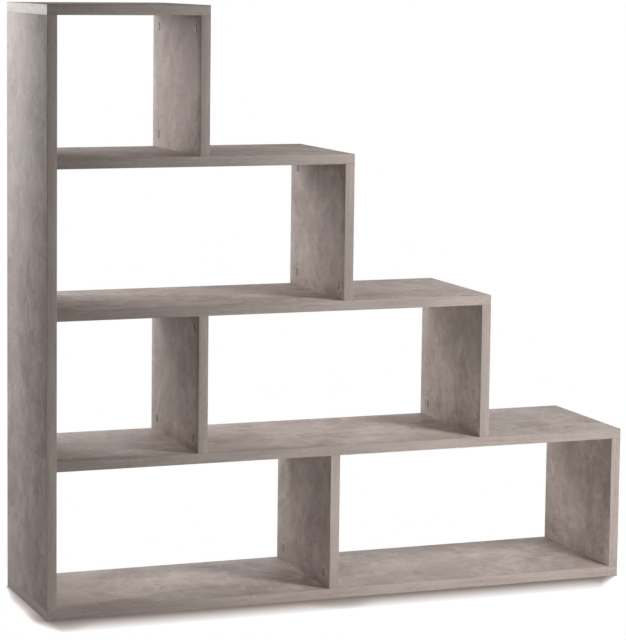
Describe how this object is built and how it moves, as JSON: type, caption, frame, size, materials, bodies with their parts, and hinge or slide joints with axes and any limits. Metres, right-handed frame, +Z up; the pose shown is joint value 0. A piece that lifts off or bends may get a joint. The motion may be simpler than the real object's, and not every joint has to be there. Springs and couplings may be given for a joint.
{
  "type": "staircase bookcase",
  "caption": "Free-standing open-backed bookcase of concrete-look laminated board, stepping down from a tall end to a low end, with its bays joined by cam fittings and dowels.",
  "frame": {"origin": "centre of the footprint, on the floor", "axes": "+X along the width from the tall end to the low end, +Y from the front to the back, +Z up"},
  "size_m": [1.365, 0.33, 1.31],
  "materials": {
    "laminate": "matte",
    "edge_band": "matte",
    "fitting": "satin",
    "cap": "satin",
    "dowel": "matte"
  },
  "bodies": {
    "root": {"bottom_board": "laminate", "lower_shelf": "laminate", "middle_shelf": "laminate", "upper_shelf": "laminate", "top_board": "laminate", "side_panel": "laminate", "lower_upright": "laminate", "middle_upright": "laminate", "upper_upright": "laminate", "top_upright": "laminate", "lower_divider": "laminate", "middle_divider": "laminate", "cam_fitting_side_panel_foot_front": "fitting", "cam_fitting_side_panel_foot_back": "fitting", "cam_fitting_side_panel_head_front": "fitting", "cam_fitting_side_panel_head_back": "fitting", "cam_fitting_lower_upright_foot_front": "fitting", "cam_fitting_lower_upright_foot_back": "fitting", "cam_fitting_lower_upright_head_front": "fitting", "cam_fitting_lower_upright_head_back": "fitting", "cam_fitting_middle_upright_foot_front": "fitting", "cam_fitting_middle_upright_foot_back": "fitting", "cam_fitting_middle_upright_head_front": "fitting", "cam_fitting_middle_upright_head_back": "fitting", "cam_fitting_upper_upright_foot_front": "fitting", "cam_fitting_upper_upright_foot_back": "fitting", "cam_fitting_upper_upright_head_front": "fitting", "cam_fitting_upper_upright_head_back": "fitting", "cam_fitting_top_upright_foot_front": "fitting", "cam_fitting_top_upright_foot_back": "fitting", "cam_fitting_top_upright_head_front": "fitting", "cam_fitting_top_upright_head_back": "fitting", "cam_fitting_lower_divider_foot_front": "fitting", "cam_fitting_lower_divider_foot_back": "fitting", "cam_fitting_lower_divider_head_front": "fitting", "cam_fitting_lower_divider_head_back": "fitting", "cam_fitting_middle_divider_foot_front": "fitting", "cam_fitting_middle_divider_foot_back": "fitting", "cam_fitting_middle_divider_head_front": "fitting", "cam_fitting_middle_divider_head_back": "fitting", "cam_fitting_lower_shelf_end_front": "fitting", "cam_fitting_lower_shelf_end_back": "fitting", "cam_fitting_middle_shelf_end_front": "fitting", "cam_fitting_middle_shelf_end_back": "fitting", "cam_fitting_upper_shelf_end_front": "fitting", "cam_fitting_upper_shelf_end_back": "fitting", "dowel_side_panel_foot": "dowel", "dowel_side_panel_head": "dowel", "dowel_lower_upright_foot": "dowel", "dowel_lower_upright_head": "dowel", "dowel_middle_upright_foot": "dowel", "dowel_middle_upright_head": "dowel", "dowel_upper_upright_foot": "dowel", "dowel_upper_upright_head": "dowel", "dowel_top_upright_foot": "dowel", "dowel_top_upright_head": "dowel", "dowel_lower_divider_foot": "dowel", "dowel_lower_divider_head": "dowel", "dowel_middle_divider_foot": "dowel", "dowel_middle_divider_head": "dowel"}
  },
  "joints": []
}
